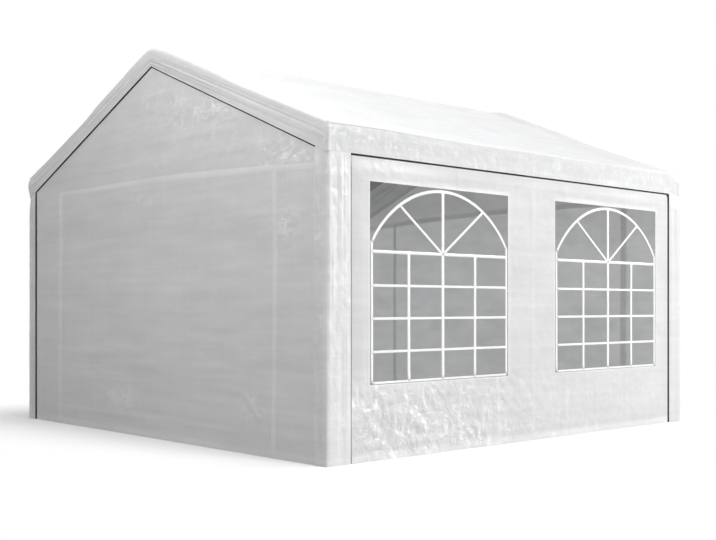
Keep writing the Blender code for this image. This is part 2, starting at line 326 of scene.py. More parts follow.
def plain_material(name, colour, roughness, metallic=0.0, spangle=0.0, grain=80.0):
    """A surface with a little variation of tone and a fine bump, both from cells."""
    material = bpy.data.materials.new(name)
    tree = Shading(material)
    place = tree.add("TexCoord", output="Object")
    depth = tree.add("TexVoronoi", {"Vector": place, "Scale": grain}, "Distance")
    cell = depth.node.outputs["Color"]
    tone = tree.between(cell, toned(colour, 1 - spangle), toned(colour, 1 + spangle))
    finish = {"Base Color": tone, "Roughness": roughness, "Metallic": metallic}
    shader = tree.add("BsdfPrincipled", {**finish, "Normal": tree.bump(depth, 0.001, 0.15)})
    tree.add("OutputMaterial", {"Surface": shader})
    return material


ROOF_FABRIC = fabric_material("roof_fabric", (0.685, 0.688, 0.695), 0.06, 0.62, 0.3)
WALL_FABRIC = fabric_material("wall_fabric", (0.8, 0.8, 0.8), 0.27)
DOUBLED_FABRIC = fabric_material("doubled_wall_fabric", (0.83, 0.83, 0.83), 0.2)
FILM = film_material()
BAR_WHITE = plain_material("white_bar", (0.83, 0.83, 0.83), 0.35, spangle=0.02)
# Painted shade: a near-black strip that stands in for the dark gap seen through each slit
SLIT_SHADE = plain_material("slit_shade_strip", (0.035, 0.036, 0.038), 0.75, spangle=0.2, grain=400)
# Painted shade: a near-black sheet for the dark underside of the canopy's corners
SHADE_PATCH = plain_material("corner_shade_patch", (0.02, 0.02, 0.022), 0.8, spangle=0.2, grain=400)
STEEL = plain_material("galvanised_steel", (0.84, 0.845, 0.85), 0.45, 0.15, spangle=0.06)
JOINT_STEEL = plain_material("connector_steel", (0.45, 0.46, 0.47), 0.5, 0.85, spangle=0.1)


# Meshes

# A point inside the tent, from which the outer side of a sheet is told
MIDDLE = np.array((0, 0, 1.2))


def spread(breaks, step):
    """Places from the first break to the last, no further apart than a step, with every break kept."""
    places = [breaks[0]]
    for low, high in zip(breaks, breaks[1:]):
        count = max(1, math.ceil((high - low) / step - 1e-6))
        places.extend(low + (high - low) * (k + 1) / count for k in range(count))
    return np.array(places)


def add_object(name, data):
    made = bpy.data.objects.new(name, data)
    bpy.context.scene.collection.objects.link(made)
    return made


def add_mesh(name, vertices, faces, material, slot, **values):
    """A smooth-shaded piece that rides on the tent, its faces turned outward.

    Further values, one to a vertex, are stored on the mesh under their names for its material.
    """
    mesh = bpy.data.meshes.new(name)
    mesh.from_pydata(np.asarray(vertices).tolist(), [], faces)
    mesh.update()
    count = len(mesh.polygons)
    normals, centres, areas = np.empty(3 * count), np.empty(3 * count), np.empty(count)
    mesh.polygons.foreach_get("normal", normals)
    mesh.polygons.foreach_get("center", centres)
    mesh.polygons.foreach_get("area", areas)
    outward = centres.reshape(-1, 3) - MIDDLE
    if ((normals.reshape(-1, 3) * outward).sum(axis=1) * areas).sum() < 0:
        mesh.flip_normals()
    mesh.shade_smooth()
    mesh.materials.append(material)
    for value_name, value in values.items():
        layer = mesh.attributes.new(value_name, "FLOAT", "POINT")
        layer.data.foreach_set("value", np.ascontiguousarray(value, dtype=np.float32).ravel())
    made = add_object(name, mesh)
    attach(made, "root")
    return made


def grid_faces(rows, columns, is_open=None):
    """Quads between the lines of a grid, except where a cell is open."""
    faces = []
    for r in range(rows - 1):
        for c in range(columns - 1):
            if is_open is None or not is_open[r, c]:
                a = r * columns + c
                faces.append((a, a + 1, a + columns + 1, a + columns))
    return faces


def add_grid(name, points, material, slot, is_open=None, **values):
    """A sheet from a grid of points, rows by columns by xyz. Points that no face uses are left out."""
    rows, columns = points.shape[:2]
    faces = grid_faces(rows, columns, is_open)
    used = np.unique(np.array(faces))
    renumber = np.full(rows * columns, -1)
    renumber[used] = np.arange(len(used))
    faces = [tuple(int(renumber[i]) for i in face) for face in faces]
    for value_name, value in values.items():
        values[value_name] = np.broadcast_to(value, (rows, columns)).ravel()[used]
    return add_mesh(name, points.reshape(-1, 3)[used], faces, material, slot, **values)


def thicken(piece, depth):
    """Gives a sheet a thickness inward."""
    thick = piece.modifiers.new("Thickness", "SOLIDIFY")
    thick.thickness = depth
    thick.offset = -1
    return thick


# Relief of the walls
#
# Walls are laid out as seen from outside: places u to the right and heights z. Walls opposite each
# other are turned, not mirrored. Relief is a distance outward, and in its formulas the factor in
# front is a depth in metres and those on u and z are noise cells to the metre.

# Crumpled places of a gable wall, with pale marks that are partly painted highlights: u, z, how far
# each reaches in u and z, and how crumpled it is
GABLE_MARKS = (
    (0.75, 2.37, 0.24, 0.13, 0.5),
    (0.27, 2.45, 0.12, 0.12, 0.35),
    (-0.08, 2.43, 0.10, 0.12, 0.3),
    (1.60, 1.93, 0.34, 0.13, 0.55),
    (1.58, 1.50, 0.22, 0.13, 0.5),
    (-0.12, 1.79, 0.16, 0.08, 0.35),
    (-0.45, 0.28, 0.36, 0.10, 0.36),
    (1.24, 0.31, 0.12, 0.12, 0.3),
)

# Long creases of a gable wall: the places (u, z) they pass, how wide each is, and how proud
GABLE_CREASES = (
    (((-1.30, 0.60), (-0.45, 0.63), (0.16, 0.69), (0.84, 0.82), (1.45, 0.99)), 0.034, 0.0023),
    (((-1.40, 1.44), (-0.56, 1.49), (0.38, 1.40), (1.10, 1.32)), 0.030, 0.0013),
    (((0.38, 0.55), (0.90, 0.56), (1.33, 0.60)), 0.020, 0.0011),
    (((1.14, 0.39), (1.33, 0.23)), 0.013, 0.0040),
)

# Level drapes of a gable wall: depth, cells across and up, and what is added to the seed
GABLE_SWEEPS = ((0.003, 0.8, 5.5, 3), (0.0009, 1.3, 13, 4), (0.0004, 3.1, 27, 6))

GABLE_SEED = {-1: 40, 1: 60}
SIDE_SEED = {-1: 30, 1: 20}

# How much less crumpled the rear gable is, with fewer pale marks that are partly painted highlights
REAR_WEAR_AND_GLINT = 0.35

# How far a side wall stands out beside its slit
SLIT_RISE = 0.007

HEM = 0.04
HEM_PROUD = 0.0009


def strip_foot(x):
    """Height of the gable strip's lower edge."""
    return STRIP_APEX - STRIP_FALL * np.abs(x)


def hem_relief(z):
    """A bottom hem's doubled cloth stands proud."""
    return HEM_PROUD * ease((HEM + 0.002 - z) / 0.004)


def gable_wear_and_glint(u, z):
    """Where a gable wall is crumpled, with pale marks that are partly painted highlights: along the
    right slope, and in marks all over it.
    """
    wear_and_glint = 0.05 + 0.12 * ease((z - 1.95) / 0.1) * ease((u + 0.3) / 0.6)
    for mark_u, mark_z, reach_u, reach_z, strength in GABLE_MARKS:
        wear_and_glint = wear_and_glint + strength * hump(u, mark_u, reach_u) * hump(z, mark_z, reach_z)
    return np.clip(wear_and_glint, 0, 1)


def gable_creases(u, z):
    """Long soft creases, drawn across the wall and fading at their ends."""
    total = 0
    for line, width, proud in GABLE_CREASES:
        line_u, line_z = np.array(line).T
        reach = 0.12 * (line_u[-1] - line_u[0])
        ends = ease((u - line_u[0]) / reach + 0.5) * ease((line_u[-1] - u) / reach + 0.5)
        off = (z - np.interp(u, line_u, line_z)) / width
        uneven = 0.75 + 0.5 * noise(u * 3.5 + 20, z * 0, 44)
        total = total + proud * ends * uneven * np.exp(-np.where(off > 0, off / 2, off) ** 2)
    return total


def gable_out(u, z, end):
    """Folds of a gable wall: long level drapes, creases, packing folds and crumples, and the hem."""
    seed = GABLE_SEED[end]
    edge = ease((WALL_FACE - 0.07 - np.abs(u)) / 0.2) * ease((strip_foot(u) - z) / 0.15)
    drape = 0.008 * layered(u * 0.9, z * 2.2, seed)
    bellied = -0.016 * ease(1 - (u / 1.9) ** 2) * np.sin(math.pi * np.clip(z / 2.2, 0, 1))
    tilted = z + 0.07 * u
    swept = 0
    for depth, across, up, step in GABLE_SWEEPS:
        swept = swept + depth * noise(u * across, tilted * up, seed + step)
    swept = swept + gable_creases(u, z)
    packed = 0.0012 * fold_lines(u, 0.21, 0.42, 0.04) + 0.0012 * fold_lines(z, 0.1, 0.48, 0.04)
    folds = 0.0022 * crumple(u, z, seed + 5, 0.06) * gable_wear_and_glint(u, z)
    return edge * (drape + bellied + swept + packed + folds) + hem_relief(z)


def side_wear_and_glint(u, z):
    """Where a side wall is crumpled, with pale marks that are partly painted highlights: low down, more
    so on the left, and a little in the upper left.
    """
    low = ease((0.6 - z) / 0.25) * (0.1 + 0.5 * ease((0.5 - u) / 1.9))
    upper = ease((z - 1.78) / 0.1) * ease((-0.9 - u) / 0.7) * 0.22
    return np.clip(0.1 + low + upper, 0, 1)


def side_relief(u, z, side):
    """Folds of a side wall: taut between the posts, crumpled towards the ground."""
    seed = SIDE_SEED[side]
    across = np.abs(u)
    below_top = ease((WALL_TOP - z) / 0.1)
    edge = ease((WALL_FACE - 0.19 - across) / 0.12) * below_top
    drape = 0.004 * layered(u * 1.6, z * 1.4, seed) * ease(across / 0.3)
    swag = 0.006 * ease((0.6 - z) / 0.4) * noise(u * 2.7, z * 2.2, seed + 8)
    folds = 0.0032 * crumple(u, z, seed + 3, 0.055) * side_wear_and_glint(u, z)
    packed = 0.0012 * fold_lines(u, 0.2, 0.4, 0.04) + 0.001 * fold_lines(z, 0.12, 0.44, 0.04)
    rise = SLIT_RISE * ease((u + 1.86) / 0.16) * ease((-0.9 - u) / 0.7) * below_top
    return edge * (drape + folds + packed + swag) + rise


# Side walls and windows

# The slits as wide as they show: at the left end of a side wall, at its right end and the left end
# of a gable wall, and under the left and right slants of the gable strip
THIN_SLIT = 0.0055
WIDE_SLIT = 0.022
LEFT_SLANT_SLIT = 0.012
RIGHT_SLANT_SLIT = 0.011

# How far a side wall reaches past the end of a flange that isn't cut short, beside the wide slit
WALL_PAST = 0.005

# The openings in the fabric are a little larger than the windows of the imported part, and the film
# behind them is larger again
OPENING_PAST = 0.003
OPENING_HALF = WINDOW_HALF + OPENING_PAST
OPENING_FOOT = SILL - OPENING_PAST
FILM_OVERLAP = 0.016
FILM_BEHIND = 0.0012

# The welded border of a window, and the round corner of a side wall
BORDER, BORDER_PROUD = 0.02, 0.0008
ROUND = 0.03

WALL_STEP = 0.0125
FILM_STEP = 0.03


def on_side(side, u, z, out):
    """Points of a side wall, from places across it, heights, and distances from its face outward."""
    return np.stack([side * (WALL_FACE + out), side * u, z], axis=-1)


def on_gable(end, u, z, out):
    """Points of a gable wall, in the same way."""
    return np.stack([-end * u, end * (WALL_FACE + out), z], axis=-1)


def side_span(side):
    """Where the flanges of the corner covers end on a side wall, on its left and on its right."""
    left_end, right_end = ("front", "rear") if side > 0 else ("rear", "front")
    return -(HALF - SIDE_FLANGE[left_end]), HALF - SIDE_FLANGE[right_end]


def to_opening(u, z):
    """Distance outside the nearest window opening, or less than 0 inside it."""
    beside = np.abs(np.abs(u) - WINDOW_CENTRE) - OPENING_HALF
    return np.maximum(beside, np.maximum(OPENING_FOOT - z, z - HEAD))


def side_out(u, z, side):
    """A side wall's relief, with its bottom hem and the welded border of each window."""
    border = BORDER_PROUD * ease((BORDER - to_opening(u, z)) / 0.004)
    return side_relief(u, z, side) + hem_relief(z) + border


def film_out(u, z, side):
    """The film's distance from the wall's face: with the wall at its rim, and tauter inside."""
    rim = ease(1 + to_opening(u, z) / 0.08)
    ripple = 0.0018 * layered(u * 4, z * 3, 80 + side)
    return side_relief(u, z, side) * rim + ripple * (1 - rim) - FILM_BEHIND


def add_side_wall(side_name, side):
    """One sheet with two openings. The thin slit is at its left end, the wide one at its right."""
    low, high = side_span(side)
    low, high = low + THIN_SLIT, high + WALL_PAST
    near, far = WINDOW_CENTRE - OPENING_HALF, WINDOW_CENTRE + OPENING_HALF
    us = spread([low, -far, -near, near, far, high - ROUND, high], WALL_STEP)
    zs = spread([0, OPENING_FOOT, HEAD, WALL_TOP - ROUND, WALL_TOP], WALL_STEP)
    u, z = np.meshgrid(us, zs)
    # The upper corner by the wide slit is rounded, not quite to the point where its edge is upright
    inside = np.clip((u - (high - ROUND)) / ROUND, 0, 1)
    z = z - np.where(z > WALL_TOP - ROUND - 0.0001, ROUND * (1 - np.sqrt(1 - inside**2 * 0.999)), 0)
    points = on_side(side, u, z, side_out(u, z, side))
    cell_u = (us[1:] + us[:-1]) / 2
    cell_z = (zs[1:] + zs[:-1]) / 2
    is_open = to_opening(cell_u[None], cell_z[:, None]) < 0
    doubled = np.maximum(HEM - z, BORDER - to_opening(u, z)) > 0
    values = {"wear_and_glint": side_wear_and_glint(u, z), "doubled": doubled}
    name = f"side_wall_{side_name}_fabric"
    wall = add_grid(name, points, WALL_FABRIC, "wall_fabric", is_open, **values)
    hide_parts(f"side_wall_{side_name}")


def add_window(side_name, side, end_name, end):
    """The film behind one opening."""
    centre = side * end * WINDOW_CENTRE
    half = OPENING_HALF + FILM_OVERLAP
    us = spread([centre - half, centre + half], FILM_STEP)
    zs = spread([OPENING_FOOT - FILM_OVERLAP, HEAD + FILM_OVERLAP], FILM_STEP)
    u, z = np.meshgrid(us, zs)
    points = on_side(side, u, z, film_out(u, z, side))
    film = add_grid(f"window_film_{end_name}_{side_name}", points, FILM, "clear_film")
    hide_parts(f"window_{end_name}_{side_name}")


# Window bars, as places across the window from its centre and heights above the ground
SPRING = 1.333
ARCH_TOP = 1.757
ARCH_RADIUS = 0.787
BAR_SIDE = 0.665
BAR_STEP = 0.3265
RAY_ACROSS = 0.41
CROSS_BARS = (1.1165, 0.9045, 0.692)

# Their widths
POST_BAR = 0.029
SIDE_POST_BAR = POST_BAR - 0.002
FRAME_BAR = 0.022
ARCH_BAR = 0.022
CROSS_BAR = 0.0175
RAY_BAR = 0.019
FOOT_BAR = 0.015

# How proud of the film they are, each a little more than the last, and the thickness behind that
BAR_PROUD = 0.0012
BAR_STAGGER = 0.00006
BAR_BACK = 0.0006
BAR_ALONG = 0.03


def arch(u):
    """Height of the arch across a window."""
    return ARCH_TOP - ARCH_RADIUS + np.sqrt(ARCH_RADIUS**2 - u * u)


def bar_lines():
    """Each bar's centre line across the window, with its width."""
    foot = SILL + FOOT_BAR / 2
    lines = [([(-BAR_SIDE, foot), (BAR_SIDE, foot)], FOOT_BAR)]
    for u in (-BAR_SIDE, BAR_SIDE):
        lines.append(([(u, foot), (u, arch(BAR_SIDE) + 0.01)], FRAME_BAR))
    lines.append(([(-BAR_SIDE, SPRING), (BAR_SIDE, SPRING)], ARCH_BAR))
    for z in CROSS_BARS:
        lines.append(([(-BAR_SIDE, z), (BAR_SIDE, z)], CROSS_BAR))
    lines.append(([(0, foot), (0, arch(0))], POST_BAR))
    for u in (-BAR_STEP, BAR_STEP):
        lines.append(([(u, foot), (u, SPRING)], SIDE_POST_BAR))
    for turn in (-1, 1):
        lines.append(([(0, SPRING), (turn * RAY_ACROSS, arch(RAY_ACROSS))], RAY_BAR))
    curve = [(u, arch(u)) for u in np.linspace(-BAR_SIDE, BAR_SIDE, 49)]
    lines.append((curve, ARCH_BAR))
    return lines


def along_line(line, step):
    """Even places along a line, with the direction to its left at each."""
    line = np.array(line, float)
    run = np.concatenate([[0], np.cumsum(np.linalg.norm(np.diff(line, axis=0), axis=1))])
    at = np.linspace(0, run[-1], max(2, int(run[-1] / step) + 1))
    middle = np.stack([np.interp(at, run, line[:, k]) for k in range(2)], axis=1)
    way = np.gradient(middle, axis=0)
    way = way / np.linalg.norm(way, axis=1, keepdims=True)
    return middle, np.stack([-way[:, 1], way[:, 0]], axis=1)


def add_window_bars(side_name, side, end_name, end):
    """White strips welded on the film, a little rounded over their edges."""
    vertices, faces = [], []
    centre = side * end * WINDOW_CENTRE
    for level, (line, width) in enumerate(bar_lines()):
        middle, left = along_line(line, BAR_ALONG)
        proud = BAR_PROUD + BAR_STAGGER * level
        profile = [(-0.5, 0), (-0.42, proud), (0.42, proud), (0.5, 0)]
        start = len(vertices)
        for place, depth in profile:
            edge = middle + left * width * place
            u, z = centre + edge[:, 0], edge[:, 1]
            vertices.extend(on_side(side, u, z, film_out(u, z, side) + depth))
        for face in grid_faces(len(profile), len(middle)):
            faces.append(tuple(start + corner for corner in face))
    made = add_mesh(f"window_bars_{end_name}_{side_name}", vertices, faces, BAR_WHITE, "wall_fabric")
    made.data.set_sharp_from_angle(angle=math.radians(40))
    thicken(made, BAR_BACK)


# Gable walls, doors and zip flaps

# How far a gable wall reaches under the corner cover on its right
GABLE_TUCK = 0.03
GABLE_LOW = -(HALF - GABLE_FLANGE) + WIDE_SLIT
GABLE_HIGH = HALF - GABLE_FLANGE + GABLE_TUCK
GABLE_STEP = 0.0175
TRIANGLE_ROWS = 50

# Each flap over a zip: its name, its middle across the gable and its width
ZIP_FLAPS = (("left", -1.45, 0.062), ("right", 1.475, 0.044))
FLAP_FOOT = 0.004

# Its section, in shares of its width and in distances from the wall. A seam is flatter.
FLAP_PROFILE = ((-0.5, 0.0003), (-0.4, 0.0013), (0, 0.0018), (0.4, 0.0013), (0.5, 0.0003))
SEAM_FLATTER = 0.6
SEAM_WIDTH = 0.048
SEAM_LOW = -1.475


def seam_height(u):
    """The seam over the door, level on the left and drawn down a little on the right."""
    return 1.92 - 0.0265 * np.maximum(u, 0) ** 1.5


def gable_top(u):
    """Height of a gable wall's sloped edge, just under the strip's slit."""
    return strip_foot(u) - np.where(u < 0, LEFT_SLANT_SLIT, RIGHT_SLANT_SLIT)


def add_gable_sheet(name, end, u, z, is_open=None):
    """A part of a gable wall. The rear one is less crumpled, with fewer pale marks that are partly
    painted highlights, and doubled over the seam too.
    """
    rear = end > 0
    doubled = (z < HEM) | (rear & (z > seam_height(u)))
    values = {"wear_and_glint": gable_wear_and_glint(u, z) * (REAR_WEAR_AND_GLINT if rear else 1.0), "doubled": doubled}
    points = on_gable(end, u, z, gable_out(u, z, end))
    sheet = add_grid(f"{name}_fabric", points, WALL_FABRIC, "wall_fabric", is_open, **values)
    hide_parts(name)
    return sheet


def add_gable_wall(end_name, end):
    """The fixed part of a gable wall: an edge beside each side of the door, and the triangle over it."""
    us = spread([GABLE_LOW, -DOOR_HALF, 0, DOOR_HALF, GABLE_HIGH], GABLE_STEP)
    below = spread([0, DOOR_TOP], GABLE_STEP)
    above = np.linspace(0, 1, TRIANGLE_ROWS + 1)[1:]
    top = gable_top(us)
    u = np.repeat(us[None], len(below) + len(above), axis=0)
    beside = np.repeat(below[:, None], len(us), axis=1)
    z = np.concatenate([beside, DOOR_TOP + above[:, None] * (top - DOOR_TOP)[None]])
    cell_u = np.abs((us[1:] + us[:-1]) / 2)
    is_below = np.arange(len(z) - 1) < len(below) - 1
    is_open = is_below[:, None] & (cell_u < DOOR_HALF)[None]
    wall = add_gable_sheet(f"gable_wall_{end_name}", end, u, z, is_open)


def add_door(end_name, end):
    """The zipped panel in the doorway."""
    u, z = np.meshgrid(spread([-DOOR_HALF, DOOR_HALF], GABLE_STEP), spread([0, DOOR_TOP], GABLE_STEP))
    door = add_gable_sheet(f"door_{end_name}", end, u, z)


def add_zip_flaps(end_name, end):
    """A flap of fabric over each zip, and the seam across the gable over the door."""
    across, lift = np.array(FLAP_PROFILE).T
    for name, middle, width in ZIP_FLAPS:
        zs = spread([FLAP_FOOT, seam_height(middle)], GABLE_STEP)
        a, z = np.meshgrid(across * width, zs)
        u = middle + a + 0.003 * noise(z * 2.2, z * 0, 90 + len(name))
        points = on_gable(end, u, z, gable_out(u, z, end) + lift[None])
        flap = add_grid(f"zip_flap_{end_name}_{name}", points, DOUBLED_FABRIC, "wall_fabric")
    us = spread([SEAM_LOW, GABLE_HIGH], GABLE_STEP)
    u, a = np.meshgrid(us, across * SEAM_WIDTH)
    z = seam_height(u) + a
    points = on_gable(end, u, z, gable_out(u, z, end) + SEAM_FLATTER * lift[:, None])
    seam = add_grid(f"gable_seam_{end_name}", points, DOUBLED_FABRIC, "wall_fabric")


# Corner covers

# Each row: end, side, how far the gable edge flares, how far the corner bulges at three heights, how
# far the side flange is cut short for the wide slit, how crisp the corner is low down, and how deep
# the folds are
CORNERS = (
    ("front", "right", 0.010, (0.002, 0.003, 0.003), 0.0, 0.9, 1.0),
    ("front", "left", 0.003, (0.008, 0.002, 0.004), 0.027, 0.0, 0.8),
    ("rear", "right", 0.016, (0.016, 0.014, 0.014), 0.027, 0.0, 0.35),
    ("rear", "left", 0.004, (0.004, 0.003, 0.004), 0.0, 0.9, 0.9),
)
BULGE_HEIGHTS = (0, 0.95, 1.9)

# How far a cover reaches up behind the roof cover's lower edge
COVER_TUCK = 0.012
COVER_ARC_STEPS = 16

# How doubled the fabric is where a cover lies over the side wall
FLANGE_DOUBLED = 0.6


def add_corner_cover(end_name, side_name, flare, bulge, trim, crisp, folded):
    """A sheet that wraps round a corner post, with soft folds down its length."""
    end, side = ENDS[end_name], SIDES[side_name]
    # Its plan, from the gable flange round the post: the place, and how far it has turned
    flange = SIDE_FLANGE[end_name] - trim
    quarter = math.pi / 2
    plan = [(u, HALF, 0.0) for u in spread([HALF - GABLE_FLANGE, FRAME], 0.005)]
    plan += [(FRAME, FRAME, a) for a in np.linspace(0, quarter, COVER_ARC_STEPS + 1)[1:]]
    plan += [(HALF, v, quarter) for v in spread([HALF - flange, FRAME], 0.006)[::-1][1:]]
    px, py, turn = (np.array(column) for column in zip(*plan))
    nx, ny = np.sin(turn), np.cos(turn)
    on_arc = (px == FRAME) & (py == FRAME)
    px, py = px + np.where(on_arc, WRAP * nx, 0), py + np.where(on_arc, WRAP * ny, 0)
    run = np.concatenate([[0], np.cumsum(np.hypot(np.diff(px), np.diff(py)))])

    level = VALANCE_FOOT + COVER_TUCK
    on_flange = (turn == 0) & (px < FRAME)
    top = np.where(on_flange, np.maximum(strip_foot(px) + COVER_TUCK, level), level)
    t, s = np.meshgrid(spread([0, 1], 0.0085), run, indexing="ij")
    z = t * top[None]
    # Folds run nearly upright: deeper on the gable flange, and fading towards the ground
    seed = 100 + 10 * side + end
    folds = 0.006 * noise(s * 23, z * 0.9, seed) + 0.0022 * noise(s * 60 + 7, z * 1.7, seed + 1)
    folds = folds * (0.75 + 1.5 * ease((GABLE_FLANGE - s) / 0.02)) + 0.0015 * crumple(s, z, seed + 2, 0.05)
    folds = folds * folded * (0.4 + 0.6 * ease((z - 0.15) / 0.9))
    free = ease(s / 0.015) * ease((run[-1] - s) / 0.03 - 0.15)
    swell = np.interp(z, BULGE_HEIGHTS, bulge) * hump(s, run[on_arc].mean(), 0.07)
    flared = flare * ease(1 - s / 0.08)
    lift = np.maximum(0.004 * free + folds * (0.15 + 0.85 * free), 0) + swell + flared
    lift = lift * ease((top[None] - z) / 0.16)
    # Low down the corner is nearly square
    squarer = (np.abs(nx) ** 8 + np.abs(ny) ** 8) ** (-1 / 8) - 1
    lift = lift + WRAP * squarer * crisp * (0.25 + 0.75 * ease((1.15 - z) / 0.5)) * on_arc
    points = np.stack([side * (px + nx * lift), end * (py + ny * lift), z], axis=-1)
    on_side_wall = turn > 1.5
    # Crumples and pale marks, partly painted highlights, as deep as the folds
    values = {"wear_and_glint": 0.25 * folded, "doubled": np.where(on_side_wall, FLANGE_DOUBLED, 1.0 * (z < HEM))}
    name = f"corner_cover_{end_name}_{side_name}"
    cover = add_grid(f"{name}_fabric", points, WALL_FABRIC, "wall_fabric", **values)
    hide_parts(name)


# Painted shade behind the slits: near-black strips

SLIT_SHADE_WIDTH = 0.04
SLIT_SHADE_DEPTH = 0.0012
SLIT_SHADE_BEHIND = 0.003


def add_slit_shade(name, line, on_wall, turn):
    """A near-black strip of painted shade behind a slit, for its dark gap, pale on its inner side. on_wall
    is on_side or on_gable.
    """
    middle, left = along_line(line, 0.02)
    rows = [middle - left * SLIT_SHADE_WIDTH / 2, middle + left * SLIT_SHADE_WIDTH / 2]
    behind = np.full(len(middle), -SLIT_SHADE_BEHIND)
    points = np.stack([on_wall(turn, row[:, 0], row[:, 1], behind) for row in rows])
    made = add_grid(name, points, SLIT_SHADE, "wall_fabric")
    made.data.materials.append(DOUBLED_FABRIC)
    thicken(made, SLIT_SHADE_DEPTH).material_offset = 1


def add_slit_shade_strip():
    """A strip of painted shade behind each slit: three to a side wall and three to a gable wall."""
    level = VALANCE_FOOT - SLIT / 2
    for side_name, side in SIDES.items():
        low, high = side_span(side)
        high = high + WALL_PAST + WIDE_SLIT / 2
        strips = {
            "top": [(low, level), (high, level)],
            "low": [(low, 0.0), (low, level)],
            "high": [(high, 0.0), (high, level)],
        }
        for part, line in strips.items():
            add_slit_shade(f"slit_shade_strip_{side_name}_{part}", line, on_side, side)
    low = -(HALF - GABLE_FLANGE) + WIDE_SLIT / 2
    shoulder = (low, float(strip_foot(low)) - LEFT_SLANT_SLIT / 2)
    right_foot = (GABLE_HIGH, float(strip_foot(GABLE_HIGH)) - RIGHT_SLANT_SLIT / 2)
    strips = {
        "low": [(low, 0.0), shoulder],
        "left_slant": [shoulder, (0.0, STRIP_APEX - LEFT_SLANT_SLIT / 2)],
        "right_slant": [(0.0, STRIP_APEX - RIGHT_SLANT_SLIT / 2), right_foot],
    }
    for end_name, end in ENDS.items():
        for part, line in strips.items():
            add_slit_shade(f"slit_shade_strip_{end_name}_{part}", line, on_gable, end)


# Roof canopy: one continuous sheet over the ridge and down all four sides

# Where its columns lie near the ridge, and its rows inside a gable's tubes. Elsewhere they are spread.
RIDGE_PLACES = [0, 0.012, 0.025, 0.04, 0.06, 0.085, 0.115, 0.15]
GABLE_PLACES = np.linspace(0.016, 0.16, 9)
CANOPY_STEP = 0.0235
RIDGE_STEPS = 3
CORNER_STEPS = 10

# Its turn over the edge: the steps, and how square it is, where 1 is round
TURN_STEPS = 16
SQUARE_TURN = 0.42

# Rows of the skirt: the first at these depths, and the rest in even steps
SKIRT_TOP = (0.003, 0.006, 0.010, 0.015, 0.021, 0.028)
SKIRT_STEPS = 14

# How deep it sags in the middle of a bay
SAG = 0.045

# How far its edge over a gable's rafters stands off them, at places across the gable
ROLL_PLACES = (-2.00, -1.70, -1.00, -0.83, -0.50, -0.17, 0.00, 0.22, 0.38, 0.80, 1.02, 1.40, 2.00)
GABLE_ROLL = (0.006, 0.0, -0.001, 0.014, 0.022, 0.030, 0.035, 0.047, 0.041, 0.033, 0.016, 0.012, 0.011)

# How far from the middle the sheet is doubled along its eaves
EAVE_BAND = 1.62


def at_gable(y):
    """1 over the tubes of a gable, falling to 0 a hand's breadth inside."""
    return ease(1 - (FRAME - np.abs(y)) / 0.13)


def seen_across(x, y):
    """Place across the nearer gable, growing to the right as seen from outside."""
    return x * np.where(y < 0, 1, -1)


def towards_crumples(x, y):
    """Place along a valance, growing to the end where it is the most crumpled."""
    return np.where(x > 0, -y, y)


def gable_roll(u):
    """How far the edge over a gable's rafters stands off them, smoothed and rippled."""
    ripple = 0.0015 * noise(u * 4.3 + 20, u * 0 + 0.5, 5)
    rolls = [np.interp(u + shift, ROLL_PLACES, GABLE_ROLL) for shift in (-0.06, 0, 0.06)]
    return sum(rolls) / len(rolls) + ripple


def roof_lift(x, y):
    """The sheet's distance from the plane through the tubes' axes, along its normal."""
    slope = np.clip(np.abs(x) / FRAME, 0, 1)
    bay = np.sqrt(np.sin(math.pi * y / FRAME) ** 2 + 0.004) - 0.004**0.5
    taut = np.sin(math.pi * slope)
    sag = -SAG * np.clip(taut, 0, 1) ** 0.75 * bay**0.85
    drape = 0.006 * layered(x * 1.6, y * 1.6, 7) * taut * bay
    inward = FRAME - np.abs(x)
    # Tension folds fan out from the corners and from the middle posts
    fan = 0
    for corner_y in (-FRAME, 0, FRAME):
        angle = np.arctan2(np.abs(y - corner_y), inward + 1e-6)
        reach = np.hypot(y - corner_y, inward)
        spokes = np.cos(angle * 16 + 2 * np.sign(x) + corner_y)
        fan = fan + 0.0028 * spokes * hump(reach, 0.32, 0.22)
    packed = 0.0016 * fold_lines(y, 0.25, 0.5, 0.045) + 0.0016 * fold_lines(slope * 4, 0, 1, 0.025)
    slack = (sag + drape + fan * bay**0.3 + packed * bay**0.4) * (1 - at_gable(y) * 0.9)
    # It rises over the eave's tube, more so towards the corners
    raised = 0.004 + 0.006 * ease((np.abs(y) - 0.9) / 0.7)
    eave = 0.007 * hump(inward, 0.07, 0.05) + raised * hump(inward, 0, 0.045)
    roll = gable_roll(seen_across(x, y)) * at_gable(y)
    return WRAP + slack + roll + eave * (1 - at_gable(y))


def ridge_rounding(x, y):
    """How far the sheet falls short of a sharp ridge: more over a gable's apex than along the ridge."""
    r = 0.006 + 0.06 * at_gable(y)
    return math.tan(PITCH) * (np.sqrt(x * x + r * r) - np.abs(x))


def strip_fold(u, drop, seed):
    """Long folds of a gable strip, running nearly along the rafter. u is across the gable."""
    a = np.abs(u)
    shown = ease((a - 0.05) / 0.2)
    groove = 0.0022 * hump(drop, 0.02 + 0.01 * a, 0.007) * shown
    ridge = 0.0016 * hump(drop, 0.036 + 0.01 * a, 0.008) * shown
    lower = 0.0015 * hump(drop, 0.068 + 0.006 * noise(u * 3 + 40, u * 0, seed), 0.011)
    wander = 0.0014 * noise(drop * 45, u * 1.6 + 39, seed) + 0.0009 * noise(drop * 110, u * 3 + 39, seed + 1)
    return ridge + lower + wander - groove


def eave_lip(below):
    """The sheet's edge over an eave stands a little proud, and is undercut below."""
    return 0.004 * (1 - ease((below - 0.003) / 0.009)) - 0.0014 * hump(below, 0.015, 0.008)


